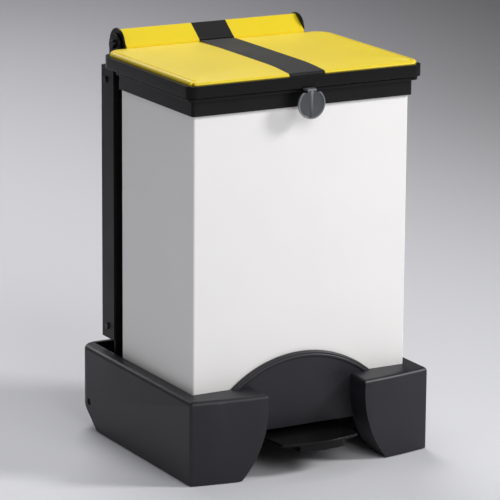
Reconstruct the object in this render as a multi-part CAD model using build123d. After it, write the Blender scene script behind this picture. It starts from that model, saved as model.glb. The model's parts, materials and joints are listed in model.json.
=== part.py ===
"""Pedal bin: a square steel body in a moulded base, with a hinged lid worked by a front pedal.

X is to the right, Y to the back, Z up. The origin is on the floor, under the middle of the bin.
Depths are given as distances behind the front face of the body, and back() turns them into Y.
"""
import os
from math import cos, radians, sin

from build123d import *

os.makedirs("parts", exist_ok=True)

# ---------------------------------------------------------------- driving sizes, mm
# Body
body_width = 345.0
body_depth = 220.0
body_height = 477.0
body_wall = 1.2
body_corner = 2.5
body_floor_wall = 1.5

# Base moulding
base_side_wall = 20.0
base_gap = 1.8
base_height = 123.0
base_rear_space = 87.0
base_rear_wall = 12.0
base_front_corner_reach = 33.0
base_front_bow = 21.0
base_rear_radius = 25.0
base_front_radius = 5.0
base_top_fillet = 6.5
rear_cut_reach = 59.5
rear_cut_angle = 38.5
foot_gap = 1.5
foot_radius = 7.0
foot_socket = 8.0
deck_top = 64.0
deck_wall = 4.0
ledge_reach = 10.0
ledge_depth = 10.0
ledge_end_gap = 8.0
deck_gap = 0.2

# Front feet of the base, the bay between them and the kick plate behind
bay_half_width = 79.0
bay_spread = 39.0
bay_arc_start = 105.0
bay_arc_radius = 155.0
bay_arc_middle = 20.0
bay_top_radius = 5.0
foot_wall = 6.0
kick_wall = 6.0
kick_back_gap = 1.0
kick_radius = 175.0
kick_top = 165.0
kick_edge_fillet = 2.9
kick_bottom = 57.5

# Frame band round the body
band_gap = 1.0
band_wall = 3.5
band_height = 27.2
band_over_body = 7.0
lip_reach = 7.0
lip_wall = 4.0
lip_drop = 1.0
ring_wire = 5.0
ring_corner = 10.0
band_front_corner = 5.0
band_rear_corner = 8.0
lip_corner = 9.0
tie_width = 24.0
tie_inset = 30.0
tie_low_gap = 3.0
tie_top_gap = 4.0

# Back panel, uprights and hinge brackets
panel_gap = 16.5
panel_wall = 1.5
upright_wall = 2.0
upright_depth = 38.0
upright_web = 32.0
upright_lip = 10.0
upright_side_reach = 2.5
flange_lift = 19.0
bracket_wall = 3.0
bracket_half_depth = 15.7
bracket_gap = 1.0
bracket_drop = 50.0
bracket_foot = 16.0
bracket_foot_drop = 16.0
bracket_shoulder_drop = 4.0
bracket_bolt_rise = 6.0
bracket_bolt_drop = 22.0
rod_end = 3.0
cap_wall = 2.5
cap_length = 5.0

# Lid
lid_gap = 0.6
lid_side_reach = 15.5
lid_front_reach = 16.5
lid_rear_reach = 41.0
lid_rim_height = 17.0
lid_wall = 3.0
tray_foot_fillet = 1.0
tab_boss_wall = 1.5
lid_front_radius = 14.0
lid_rear_radius = 28.0
cover_inset = 5.0
cover_skirt = 6.0
cover_crown = 3.2
cover_wall = 2.6
cover_crown_radius = 6100.0
cover_edge_fillet = 2.0
stripe_width = 57.0
stripe_wall = 0.9
hinge_reach = 60.0
hinge_rise = 25.4
hinge_rod_radius = 4.0
hinge_fit = 0.08
bush_wall = 2.5
bush_flange = 2.0
bush_flange_wall = 1.5
ear_wall = 3.4
ear_radius = 12.0
hump_inset = 25.5
hump_radius = 21.0
hump_foot_reach = 27.0
hump_back_angle = 35.0
hump_arc_middle = 27.0
cheek_wall = 3.0
cheek_radius = 23.3
cheek_rod_gap = 0.6
lid_opening = 75.0
buffer_radius = 5.0
buffer_inset = 25.0
buffer_gap = 0.3

# Lid drive
crank_radius = 30.0
crank_pin_radius = 3.0
crank_web_wall = 3.0
crank_web_offset = 6.0
crank_web_reach = 26.0
crank_foot = 10.0
crank_foot_spread = 12.0
crank_foot_wall = 2.0
eye_wall = 3.0
pin_end = 1.5
push_rod_wall = 6.0
push_rod_half_depth = 6.0
slot_gap = 0.9
slot_wall = 3.0
crank_slot_play = 0.8
lever_slot_play = 1.4
guide_gap = 0.3
guide_height = 24.0
guide_side_wall = 12.0
guide_back_wall = 3.0
rod_deck_gap = 2.0
window_front = 16.0
lower_guide_rise = 126.0
upper_guide_drop = 117.0
drive_window = 14.0

# Pedal
pedal_reach = 71.0
pedal_corner_reach = 60.0
pedal_front_half_width = 62.0
pedal_rear_half_width = 70.0
pedal_rear = 15.0
pedal_top = 50.0
pedal_wall = 4.0
pedal_block_half_width = 36.0
pedal_block_rear_reach = 22.0
pedal_block_bottom = 36.0
pedal_block_inset = 1.5
pedal_corner_fillet = 4.0
pedal_edge_fillet = 1.2
socket_front = 14.0
lever_wall = 8.0
lever_half_height = 6.0
lever_pivot_back = 80.0
lever_pivot_height = 31.0
lever_front_height = 40.0
lever_boss_wall = 5.0
fork_gap = 0.6
fork_wall = 4.0
fork_reach = 24.0
pivot_pin_radius = 4.0
pivot_bracket_gap = 0.5
pivot_bracket_wall = 3.0
pivot_bracket_half_depth = 14.0
pivot_bracket_eye = 8.0
pivot_bracket_foot = 20.0
pivot_pin_end = 2.5

# Wheels
wheel_radius = 38.0
wheel_lift = 1.8
wheel_front_gap = 3.5
wheel_width = 23.0
wheel_side_gap = 6.0
tyre_wall = 7.0
axle_radius = 5.0
axle_fit = 0.08
axle_recess = 3.0
collar_wall = 4.0
collar_length = 6.0
collar_gap = 0.3
hub_inset = 2.0
hub_rim = 5.0
hub_boss = 6.0
hub_recess = 5.0
tyre_fillet = 4.0
wheel_slot_gap = 4.0
wheel_top_gap = 6.0
wheel_bay_gap = 3.0

# Lift tab and small fixings
tab_radius = 21.5
tab_wall = 3.0
tab_reach = 25.5
tab_centre_drop = 21.5
tab_top_cut = 16.5
tab_rim = 1.2
tab_border = 2.5
tab_stem_half_width = 7.0
tab_rib_half_width = 1.5
tab_screw_radius = 2.2
tab_screw_height = 1.4
bolt_radius = 3.0
bolt_head_radius = 5.0
bolt_head_height = 2.5
bolt_head_fillet = 1.2
nut_wall = 4.0
bracket_nut_wall = 3.0
upper_bolt_inset = 24.0
upper_bolt_rise = 6.0
lower_bolt_inset = 21.0
lower_bolt_rise = 18.0

# ---------------------------------------------------------------- places worked out from them
body_half = body_width / 2
base_inner = body_half + base_gap
base_outer = base_inner + base_side_wall
base_rear = body_depth + base_rear_space + base_rear_wall
rear_cut_start = base_rear - rear_cut_reach
body_top = deck_top + body_height
band_top = body_top + band_over_body
band_bottom = band_top - band_height
band_inner = body_half + band_gap
band_outer = band_inner + band_wall
band_rear_inner = body_depth + band_gap
band_rear_outer = band_rear_inner + band_wall
panel_front = band_rear_outer + panel_gap
flange_bottom = base_height + flange_lift
upright_half_width = body_half + upright_side_reach
lip_top = band_top - lip_drop
rim_bottom = band_top + lid_gap
rim_top = rim_bottom + lid_rim_height
tray_under = rim_top - lid_wall
lid_half = body_half + lid_side_reach
lid_rear = body_depth + lid_rear_reach
hinge_back = body_depth + hinge_reach
hump_foot_back = hinge_back - hump_foot_reach
hump_half_width = body_half - hump_inset
cover_half = lid_half - cover_inset
cover_edge_top = rim_top + cover_skirt
hinge_z = rim_bottom + hinge_rise
cover_top = cover_edge_top + cover_crown
upright_top = band_top - lip_drop
bracket_bottom = upright_top - bracket_drop
guide_levels = (deck_top + lower_guide_rise, upright_top - upper_guide_drop)
panel_back = panel_front + panel_wall
upright_web_back = panel_back + upright_wall
wheel_back = upright_web_back + wheel_front_gap + wheel_radius
rear_reach = wheel_back + wheel_radius
body_front = (pedal_reach - rear_reach) / 2
ear_outer = hump_half_width
ear_inner = ear_outer - ear_wall
cheek_outer = hump_half_width + cheek_wall
bracket_inner = cheek_outer + bracket_gap
bracket_outer = bracket_inner + bracket_wall
crank_half_swing = radians(lid_opening / 2)
crank_pin_back = hinge_back - crank_radius * cos(crank_half_swing)
crank_pin_z = hinge_z - crank_radius * sin(crank_half_swing)
crank_sideplay = crank_radius * (1 - cos(crank_half_swing)) / 2
rod_back = crank_pin_back - crank_sideplay
rod_travel = 2 * crank_radius * sin(crank_half_swing)
lever_arm = rod_back - lever_pivot_back
lever_swing_sine = rod_travel / 2 / lever_arm
lever_pin_z = lever_pivot_height - lever_arm * lever_swing_sine
lever_pin_back = lever_pivot_back + lever_arm * (1 - lever_swing_sine ** 2) ** 0.5
wheel_z = wheel_radius + wheel_lift
wheel_outer = base_inner - wheel_side_gap
wheel_inner = wheel_outer - wheel_width


def back(distance):
    """Y of a plane that lies this far behind the front face of the body."""
    return body_front + distance


def block(x_min, x_max, back_min, back_max, z_min, z_max):
    """Box between two X values, two depths and two heights."""
    centre = Pos((x_min + x_max) / 2, back((back_min + back_max) / 2), (z_min + z_max) / 2)
    return centre * Box(x_max - x_min, back_max - back_min, z_max - z_min)


def side_face(points):
    """Flat face in a side view, from (depth, height) points."""
    return make_face(Polyline(*[(back(depth), height) for depth, height in points], close=True))


def side_disc(radius, depth, height):
    """Disc in a side view."""
    return Pos(back(depth), height) * Circle(radius)


def along_x(face, x_min, x_max):
    """Side-view face swept across the bin."""
    return extrude(Plane.YZ.offset(x_min) * face, amount=x_max - x_min)


def along_y(face, back_min, back_max):
    """Front-view face swept from one depth to another."""
    return extrude(Plane.XZ.offset(-back(back_max)) * face, amount=back_max - back_min)


def along_z(face, z_min, z_max):
    """Plan-view face swept up."""
    return extrude(Plane.XY.offset(z_min) * face, amount=z_max - z_min)


def pin(radius, x_min, x_max, depth, height):
    """Round bar across the bin."""
    return along_x(side_disc(radius, depth, height), x_min, x_max)


def mirrored(shape):
    """The same shape on the other side of the bin."""
    return mirror(shape, about=Plane.YZ)


def plan_loop(half_width, front_reach, rear, front_radius, rear_radius):
    """Rectangle in plan with its own front and rear corner radii."""
    width = 2 * half_width
    depth = rear + front_reach
    middle = Pos(0, back((rear - front_reach) / 2))
    face = middle * Rectangle(width, depth)
    corners = face.vertices().sort_by(Axis.Y)
    face = fillet(corners[:2], front_radius) if front_radius else face
    corners = face.vertices().sort_by(Axis.Y)
    return fillet(corners[-2:], rear_radius) if rear_radius else face


def save(name, shape):
    """Write one node. Loose results of a cut or a group are kept as one compound."""
    solids = shape.solids() if not isinstance(shape, list) else [s for part in shape for s in part.solids()]
    export_step(solids[0] if len(solids) == 1 else Compound(children=solids), f"parts/{name}.step")


# ---------------------------------------------------------------- base
def bay_profile(top, rounded):
    """Front view of the bay between the feet: upright at the top, spreading out below on an arc."""
    foot_x = bay_half_width + bay_spread
    arc_low = bay_arc_start - (bay_arc_radius ** 2 - (bay_arc_radius - bay_spread) ** 2) ** 0.5
    middle = radians(bay_arc_middle)
    arc_middle = (
        bay_half_width + bay_arc_radius * (1 - cos(middle)),
        bay_arc_start - bay_arc_radius * sin(middle),
    )
    right = [
        Line((0, 0), (foot_x, 0)),
        Line((foot_x, 0), (foot_x, arc_low)),
        ThreePointArc((foot_x, arc_low), arc_middle, (bay_half_width, bay_arc_start)),
    ]
    if rounded:
        round_low = (bay_half_width, top - bay_top_radius)
        round_high = (bay_half_width + bay_top_radius, top)
        above = top + bay_top_radius
        right += [
            Line((bay_half_width, bay_arc_start), round_low),
            RadiusArc(round_low, round_high, bay_top_radius),
            Line(round_high, (round_high[0], above)),
            Line((round_high[0], above), (0, above)),
        ]
    else:
        right += [
            Line((bay_half_width, bay_arc_start), (bay_half_width, top)),
            Line((bay_half_width, top), (0, top)),
        ]
    right.append(Line(right[-1] @ 1, (0, 0)))
    half = make_face(Wire(right))
    return half + mirror(half, about=Plane.YZ)


def base_plan():
    """Plan of the base: bowed front, straight sides, rounded rear corners."""
    apex = base_front_corner_reach + base_front_bow
    left = (-base_outer, back(-base_front_corner_reach))
    right = (base_outer, back(-base_front_corner_reach))
    edge = [
        ThreePointArc(left, (0, back(-apex)), right),
        Line(right, (base_outer, back(base_rear))),
        Line((base_outer, back(base_rear)), (-base_outer, back(base_rear))),
        Line((-base_outer, back(base_rear)), left),
    ]
    return make_face(Wire(edge))


def kick_disc():
    """Front view of the round top of the kick plate."""
    return Pos(0, kick_top - kick_radius) * Circle(kick_radius)


def make_base_shell():
    shell = along_z(base_plan(), foot_gap, base_height)
    upright_edges = shell.edges().filter_by(Axis.Z).sort_by(Axis.Y)
    shell = fillet(upright_edges[-2:], base_rear_radius)
    upright_edges = shell.edges().filter_by(Axis.Z).sort_by(Axis.Y)
    shell = fillet(upright_edges[:2], base_front_radius)
    shell = fillet(shell.faces().sort_by(Axis.Z)[-1].edges(), base_top_fillet)
    # well for the body, the lever bay and the wheel bay
    well_front = -kick_back_gap
    shell -= block(-base_inner, base_inner, well_front, base_rear - base_rear_wall, 0, base_height + 1)
    # bay between the front feet, and the slot that holds the kick plate
    front = -base_front_corner_reach - base_front_bow - 1
    kick_front = well_front - kick_wall
    shell -= along_y(bay_profile(base_height, True), front, kick_front)
    shell -= along_y(bay_profile(base_height + 1, False), kick_front, well_front)
    # hollow feet, open below
    pocket_inner = bay_half_width + bay_spread + foot_wall
    pocket_outer = base_outer - 2 * foot_radius - 2 * foot_wall
    pocket = block(
        pocket_inner, pocket_outer,
        -base_front_corner_reach + foot_wall, well_front - foot_wall,
        0, base_height - foot_wall,
    )
    shell -= pocket + mirrored(pocket)
    # slanted cut under the rear, on which the bin is tipped back
    run = base_rear - rear_cut_start + 1
    rise = run * sin(radians(rear_cut_angle)) / cos(radians(rear_cut_angle))
    wedge = side_face([(rear_cut_start, 0), (rear_cut_start + run, 0), (rear_cut_start + run, rise)])
    shell -= along_x(wedge, -base_outer - 1, base_outer + 1)
    # slots in the rear wall for the wheels
    slot = block(
        wheel_inner - wheel_slot_gap, base_inner,
        base_rear - base_rear_wall - 1, base_rear + 1,
        0, wheel_z + wheel_radius + wheel_top_gap,
    )
    shell -= slot + mirrored(slot)
    # axle holes
    shell -= pin(axle_radius + axle_fit, -base_outer - 1, base_outer + 1, wheel_back, wheel_z)
    # ledges that carry the deck
    ledge = block(
        base_inner - ledge_reach, base_inner,
        well_front, wheel_back - wheel_radius - ledge_end_gap,
        deck_top - deck_wall - ledge_depth, deck_top - deck_wall,
    )
    shell += ledge + mirrored(ledge)
    # sockets for the rubber feet
    for x, depth in foot_places():
        shell -= Pos(x, back(depth), foot_gap) * Cylinder(foot_radius, 2 * foot_socket)
    return shell


def foot_places():
    """Middles of the four rubber feet, as (x, depth)."""
    x = base_outer - foot_wall - foot_radius
    front = -base_front_corner_reach + 2 * foot_wall + foot_radius - 2
    rear = rear_cut_start - foot_radius - foot_wall
    return [(side * x, depth) for side in (-1, 1) for depth in (front, rear)]


def make_rubber_feet():
    height = foot_gap + foot_socket
    return [Pos(x, back(depth), height / 2) * Cylinder(foot_radius, height) for x, depth in foot_places()]


def make_kick_plate():
    front = -kick_back_gap - kick_wall
    lower_middle = (kick_bottom + base_height) / 2
    lower_window = Pos(0, lower_middle) * Rectangle(2 * base_outer, base_height - kick_bottom)
    upper_window = Pos(0, base_height + kick_top / 2) * Rectangle(2 * base_outer, kick_top)
    lower = bay_profile(base_height, False) & lower_window
    upper = kick_disc() & upper_window
    plate = along_y(lower + upper, front, -kick_back_gap)
    rim = [
        edge for edge in plate.edges().filter_by(GeomType.CIRCLE)
        if abs(edge.radius - kick_radius) < 0.1 and edge.center().Y < back(front) + 0.1
    ]
    return fillet(rim, kick_edge_fillet)


def make_deck():
    """Steel plate on the ledges of the base. The body, the back panel and the pedal hang on it."""
    rear = base_rear - base_rear_wall
    half = base_inner - deck_gap
    deck = block(-half, half, -kick_back_gap, rear, deck_top - deck_wall, deck_top)
    bay_front = wheel_back - wheel_radius - wheel_bay_gap
    bay = block(wheel_inner - wheel_slot_gap, base_inner, bay_front, rear + 1, 0, deck_top + 1)
    deck -= bay + mirrored(bay)
    clear = push_rod_half_depth + rod_deck_gap
    deck -= block(-push_rod_wall, push_rod_wall, rod_back - clear, rod_back + clear, 0, deck_top + 1)
    return deck


# ---------------------------------------------------------------- body
def body_inside():
    """Plan of the space inside the body."""
    corner = body_corner - body_wall
    return plan_loop(body_half - body_wall, -body_wall, body_depth - body_wall, corner, corner)


def make_body_sleeve():
    outside = along_z(plan_loop(body_half, 0, body_depth, body_corner, body_corner), deck_top, body_top)
    return outside - along_z(body_inside(), deck_top - 1, body_top + 1)


def make_body_floor():
    return along_z(body_inside(), deck_top, deck_top + body_floor_wall)


# ---------------------------------------------------------------- frame band and sack ring
def make_frame_band():
    front_reach = band_gap + band_wall
    inner_corner = body_corner + band_gap
    outer = plan_loop(band_outer, front_reach, band_rear_outer, band_front_corner, band_rear_corner)
    inner = plan_loop(band_inner, band_gap, band_rear_inner, inner_corner, inner_corner)
    band = along_z(outer, band_bottom, band_top)
    lip = plan_loop(band_outer + lip_reach, front_reach + lip_reach, band_rear_inner, lip_corner, lip_corner)
    band += along_z(lip, lip_top - lip_wall, lip_top)
    band -= along_z(inner, band_bottom - 1, band_top + 1)
    return band


def make_band_ties():
    """Spacers that hold the band to the back panel."""
    inner = bracket_inner - tie_inset
    tie = block(
        inner, inner + tie_width, band_rear_outer, panel_front,
        band_bottom + tie_low_gap, band_top - tie_top_gap,
    )
    return [tie, mirrored(tie)]


def make_sack_ring():
    """Wire ring that lies on the band and traps the sack."""
    middle = band_inner + band_wall / 2
    front = band_gap + band_wall / 2
    path_face = plan_loop(middle, front, band_rear_inner + band_wall / 2, ring_corner, ring_corner)
    path = Pos(0, 0, band_top + ring_wire / 2) * path_face.face().outer_wire()
    start = path.edges().filter_by(Axis.X).sort_by(Axis.Y)[0]
    section = Plane(origin=start @ 0.5, z_dir=start % 0.5) * Circle(ring_wire / 2)
    return sweep(section, path=path)


# ---------------------------------------------------------------- rear frame
def bolt_spots():
    """Side bolts of the uprights, as (depth, height)."""
    upper = (panel_front + upper_bolt_inset, band_bottom + upper_bolt_rise)
    lower = (panel_front + lower_bolt_inset, flange_bottom + lower_bolt_rise)
    return [upper, lower]


def make_back_panel():
    half = upright_half_width - upright_wall
    return block(-half, half, panel_front, panel_back, deck_top, upright_top)


def make_upright(side):
    """Angle beside the panel: a side flange with a lip, and a web along the panel."""
    inner_flange = upright_half_width - upright_wall
    flange_back = panel_front + upright_depth
    flange = block(inner_flange, upright_half_width, panel_front, flange_back, flange_bottom, upright_top)
    web = block(inner_flange - upright_web, inner_flange, panel_back, upright_web_back, deck_top, upright_top)
    lip = block(
        inner_flange - upright_lip, inner_flange, flange_back - upright_wall, flange_back,
        flange_bottom, upright_top,
    )
    upright = flange + web + lip
    for depth, height in bolt_spots():
        upright -= pin(bolt_radius, inner_flange - 1, upright_half_width + 1, depth, height)
    return upright if side > 0 else mirrored(upright)


def make_upright_bolts():
    """Bolts through the side flanges, with a nut inside."""
    bolts = []
    nut_outer = upright_half_width - upright_wall
    for depth, height in bolt_spots():
        shank = pin(bolt_radius, nut_outer - nut_wall, upright_half_width, depth, height)
        head = pin(bolt_head_radius, upright_half_width, upright_half_width + bolt_head_height, depth, height)
        rim = head.edges().filter_by(GeomType.CIRCLE).sort_by(Axis.X)[-1]
        nut_face = Pos(back(depth), height) * RegularPolygon(bolt_head_radius, 6)
        nut = along_x(nut_face, nut_outer - nut_wall, nut_outer)
        bolt = shank + fillet(rim, bolt_head_fillet) + nut
        bolts += [bolt, mirrored(bolt)]
    return bolts


def make_hinge_bracket(side):
    """Strap that carries the hinge rod, with a foot on the web of the upright."""
    foot_back = upright_web_back + bracket_wall
    front = hinge_back - bracket_half_depth
    rear = hinge_back + bracket_half_depth
    strap = side_face([(front, bracket_bottom), (rear, bracket_bottom), (rear, hinge_z), (front, hinge_z)])
    strap += side_disc(bracket_half_depth, hinge_back, hinge_z)
    strap += side_face([
        (upright_web_back, bracket_bottom), (front + 1, bracket_bottom),
        (front + 1, upright_top - bracket_shoulder_drop), (upright_web_back, upright_top - bracket_foot_drop),
    ])
    strap -= side_disc(hinge_rod_radius, hinge_back, hinge_z)
    bracket = along_x(strap, bracket_inner, bracket_outer)
    bracket += block(
        bracket_outer, bracket_outer + bracket_foot, upright_web_back, foot_back,
        bracket_bottom, upright_top - bracket_foot_drop,
    )
    return bracket if side > 0 else mirrored(bracket)


def make_bracket_bolts():
    """Round heads on the front of the panel, clamping panel, upright web and bracket foot."""
    bolts = []
    x = bracket_outer + bracket_foot / 2 + 1
    nut_back = upright_web_back + bracket_wall
    for height in (bracket_bottom + bracket_bolt_rise, upright_top - bracket_bolt_drop):
        disc = Pos(x, height) * Circle(bolt_head_radius)
        bolts.append(along_y(disc, nut_back, nut_back + bracket_nut_wall))
        bolts.append(along_y(disc, panel_front - bolt_head_height, panel_front))
    return bolts + [mirrored(bolt) for bolt in bolts]


def make_hinge_rod():
    return pin(hinge_rod_radius, -bracket_outer - rod_end, bracket_outer + rod_end, hinge_back, hinge_z)


def make_hinge_caps():
    """Push-on caps that keep the rod in the brackets."""
    cap = pin(hinge_rod_radius + cap_wall, bracket_outer, bracket_outer + cap_length, hinge_back, hinge_z)
    cap -= pin(hinge_rod_radius, 0, bracket_outer + rod_end, hinge_back, hinge_z)
    return [cap, mirrored(cap)]


# ---------------------------------------------------------------- lid
def make_lid_tray():
    """Shallow tray, open below, with a screw boss, hinge ears and a window for the drive."""
    outline = plan_loop(lid_half, lid_front_reach, lid_rear, lid_front_radius, lid_rear_radius)
    tray = along_z(outline, rim_bottom, rim_top)
    lower = tray.faces().sort_by(Axis.Z)[0].edges()
    tray = fillet(lower, tray_foot_fillet)
    inner = plan_loop(
        lid_half - lid_wall, lid_front_reach - lid_wall, lid_rear - lid_wall,
        lid_front_radius - lid_wall, lid_rear_radius - lid_wall,
    )
    tray -= along_z(inner, rim_bottom - 1, tray_under)
    # boss behind the front wall for the screw of the lift tab
    tray += block(
        -2 * tab_stem_half_width, 2 * tab_stem_half_width,
        -lid_front_reach + lid_wall / 2, -lid_front_reach + lid_wall + tab_boss_wall,
        rim_bottom, tray_under + 1,
    )
    # ears that carry the hinge rod
    ear = side_face([
        (lid_rear - 1, rim_bottom), (lid_rear - 1, rim_top),
        (hinge_back, hinge_z + ear_radius), (hinge_back, hinge_z - ear_radius),
    ])
    ear += side_disc(ear_radius, hinge_back, hinge_z)
    ear -= side_disc(hinge_rod_radius + bush_wall, hinge_back, hinge_z)
    ear = along_x(ear, ear_inner, ear_outer)
    tray += ear + mirrored(ear)
    # window for the push rod and the drive bracket
    tray -= block(
        -drive_window, drive_window, rod_back - window_front, lid_rear + 1, rim_bottom - 1, rim_top + 1
    )
    return tray


def make_hinge_bushes():
    """Plastic bushes in the ears, running on the hinge rod."""
    radius = hinge_rod_radius + bush_wall
    bush = pin(radius, ear_inner - bush_flange_wall, ear_outer, hinge_back, hinge_z)
    bush += pin(radius + bush_flange, ear_inner - bush_flange_wall, ear_inner, hinge_back, hinge_z)
    bush -= pin(hinge_rod_radius + hinge_fit, 0, ear_outer + 1, hinge_back, hinge_z)
    return [bush, mirrored(bush)]


def pillow(shrink):
    """Outer form of the lid cover: an upright skirt under a slightly crowned top."""
    rear = lid_rear - cover_inset
    outline = plan_loop(
        cover_half - shrink, lid_front_reach - cover_inset - shrink, rear - shrink,
        lid_front_radius - cover_inset / 2 - shrink, lid_rear_radius - cover_inset / 2 - shrink,
    )
    form = along_z(outline, rim_top, cover_top + 4)
    middle = (rear - lid_front_reach + cover_inset) / 2
    ball = Pos(0, back(middle), cover_top - shrink - cover_crown_radius) * Sphere(cover_crown_radius)
    return form & ball


def rear_step():
    """Space of the hinge cover, taken out of the rear of the lid cover."""
    return block(-hump_half_width, hump_half_width, hump_foot_back, lid_rear, rim_top - 1, cover_top + 9)


def stripe_block():
    """Space over the middle of the lid that the stripe runs in."""
    half = stripe_width / 2
    return block(-half, half, -lid_front_reach, lid_rear, rim_top - 1, hinge_z)


def make_lid_cover():
    skin = pillow(0)
    crown_edges = [
        edge for edge in skin.edges()
        if edge.center().Z > cover_edge_top - 3 and edge.bounding_box().max.Z > rim_top + 2
        and edge not in skin.edges().filter_by(Axis.Z)
    ]
    skin = fillet(crown_edges, cover_edge_fillet)
    skin -= pillow(cover_wall)
    skin -= rear_step()
    return skin - stripe_groove()


def stripe_groove():
    """Outer layer of the lid cover under the stripe."""
    return (pillow(-1) - pillow(stripe_wall)) & stripe_block()


def make_lid_stripe():
    strip = (pillow(0) - pillow(stripe_wall)) & stripe_block()
    return strip - rear_step()


def hump_profile(shrink):
    """Side view of the hinge cover: a sloped front face, a rounded top and a round back."""
    radius = hump_radius - shrink
    back_low = radians(hump_back_angle)
    arc_middle = radians(hump_arc_middle)
    floor_z = rim_top - (1 if shrink else 0)
    base = (back(hump_foot_back + shrink), floor_z)
    foot = (base[0], cover_top - 0.4 - shrink / 3)
    top = (back(hinge_back), hinge_z + radius)
    middle = (back(hinge_back + radius * cos(arc_middle)), hinge_z + radius * sin(arc_middle))
    rear = (back(hinge_back + radius * cos(back_low)), hinge_z - radius * sin(back_low))
    inner_base = (back(hinge_back), floor_z)
    edge = [
        Line(base, foot),
        Line(foot, top),
        ThreePointArc(top, middle, rear),
        Line(rear, inner_base),
        Line(inner_base, base),
    ]
    return make_face(Wire(edge))


def hinge_stripe_layer():
    """Outer layer of the hinge cover that the stripe takes, from its foot to its back."""
    layer = along_x(hump_profile(0) - hump_profile(stripe_wall), -stripe_width / 2, stripe_width / 2)
    below = block(-stripe_width, stripe_width, hump_foot_back - 1, hinge_back + 2 * hump_radius, 0, cover_top)
    return layer - below


def make_hinge_cover():
    outer = along_x(hump_profile(0), -hump_half_width, hump_half_width)
    inner = along_x(hump_profile(cover_wall), -hump_half_width - 1, hump_half_width + 1)
    return outer - inner - hinge_stripe_layer()


def make_hinge_stripe():
    return hinge_stripe_layer()


def make_cheek(side):
    """D-shaped end of the hinge cover."""
    face = side_disc(cheek_radius, hinge_back, hinge_z)
    front = hinge_back - cheek_radius
    face += side_face([(front, rim_top), (lid_rear, rim_top), (hinge_back, hinge_z), (front, hinge_z)])
    face -= side_disc(hinge_rod_radius + cheek_rod_gap, hinge_back, hinge_z)
    cheek = along_x(face, hump_half_width, cheek_outer)
    cheek -= block(0, cheek_outer + 1, 0, lid_rear, rim_bottom - 9, rim_top)
    return cheek if side > 0 else mirrored(cheek)


def make_lid_buffers():
    """Rubber posts under the lid that land on the sack ring."""
    x = band_inner + band_wall / 2
    low = band_top + ring_wire + buffer_gap
    posts = []
    for side in (-1, 1):
        for depth in (buffer_inset, body_depth - buffer_inset):
            post = Cylinder(buffer_radius, tray_under - low)
            posts.append(Pos(side * x, back(depth), (low + tray_under) / 2) * post)
    return posts


def make_lift_tab():
    """Clear disc that hangs in front of the lid, with an arm back under the rim."""
    centre_z = rim_bottom - tab_centre_drop
    front = -tab_reach
    disc = Pos(0, centre_z) * Circle(tab_radius)
    cut_level = centre_z + tab_top_cut
    disc -= Pos(0, cut_level + tab_radius) * Rectangle(3 * tab_radius, 2 * tab_radius)
    inner = offset(disc, -tab_border)
    tab = along_y(disc, front, front + tab_wall)
    tab -= along_y(inner, front - 1, front + tab_rim)
    arm_low = rim_bottom - tab_wall
    stem = Pos(0, (centre_z + tab_top_cut + rim_bottom) / 2 - 1)
    stem_face = stem * Rectangle(2 * tab_stem_half_width, rim_bottom - cut_level + 2)
    tab += along_y(stem_face, front, front + tab_wall)
    tab += block(
        -tab_stem_half_width, tab_stem_half_width, front, -lid_front_reach + lid_wall + 1, arm_low, rim_bottom
    )
    rib_low = centre_z - tab_radius + tab_border
    tab += block(
        -tab_rib_half_width, tab_rib_half_width, front, front + tab_rim, rib_low, rim_bottom - 1
    )
    return tab


def make_tab_screw():
    """Screw head under the arm of the lift tab."""
    depth = -lid_front_reach + tab_screw_radius
    low = rim_bottom - tab_wall - tab_screw_height
    head = Cylinder(tab_screw_radius, tab_screw_height, align=(Align.CENTER, Align.CENTER, Align.MIN))
    return Pos(0, back(depth), low) * head


# ---------------------------------------------------------------- lid drive
def make_drive_bracket():
    """Two webs under the lid tray that hold the crank pin."""
    inner = crank_web_offset
    foot_bottom = tray_under - crank_foot_wall
    front = crank_pin_back - crank_web_reach
    web = side_disc(crank_pin_radius + eye_wall, crank_pin_back, crank_pin_z)
    web += side_face([
        (front, foot_bottom), (front, tray_under), (crank_pin_back + eye_wall + 1, tray_under),
        (crank_pin_back + eye_wall + 2, crank_pin_z),
        (crank_pin_back - eye_wall - 1, crank_pin_z - eye_wall - 1),
    ])
    web -= side_disc(crank_pin_radius, crank_pin_back, crank_pin_z)
    web = along_x(web, inner, inner + crank_web_wall)
    foot_front = front - crank_foot + 2
    foot = block(inner, drive_window + crank_foot_spread, foot_front, front + 2, foot_bottom, tray_under)
    bridge = block(-inner, inner, foot_front, front, foot_bottom, tray_under)
    return web + foot + mirrored(web + foot) + bridge


def make_crank_pin():
    half = crank_web_offset + crank_web_wall + pin_end
    return pin(crank_pin_radius, -half, half, crank_pin_back, crank_pin_z)


def long_disc(radius, play, height):
    """Disc in a side view, drawn out to a slot that runs along the depth."""
    ends = side_disc(radius, rod_back - play, height) + side_disc(radius, rod_back + play, height)
    return ends + side_face([
        (rod_back - play, height - radius), (rod_back + play, height - radius),
        (rod_back + play, height + radius), (rod_back - play, height + radius),
    ])


def make_push_rod():
    """Flat bar behind the panel, with a slotted eye at each end."""
    half = push_rod_wall / 2
    slot_radius = crank_pin_radius + slot_gap
    ends = ((crank_pin_z, crank_sideplay + crank_slot_play), (lever_pin_z, lever_slot_play))
    bar = side_face([
        (rod_back - push_rod_half_depth, lever_pin_z), (rod_back + push_rod_half_depth, lever_pin_z),
        (rod_back + push_rod_half_depth, crank_pin_z), (rod_back - push_rod_half_depth, crank_pin_z),
    ])
    for height, play in ends:
        bar += long_disc(slot_radius + slot_wall, play, height)
    for height, play in ends:
        bar -= long_disc(slot_radius, play, height)
    return along_x(bar, -half, half)


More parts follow.
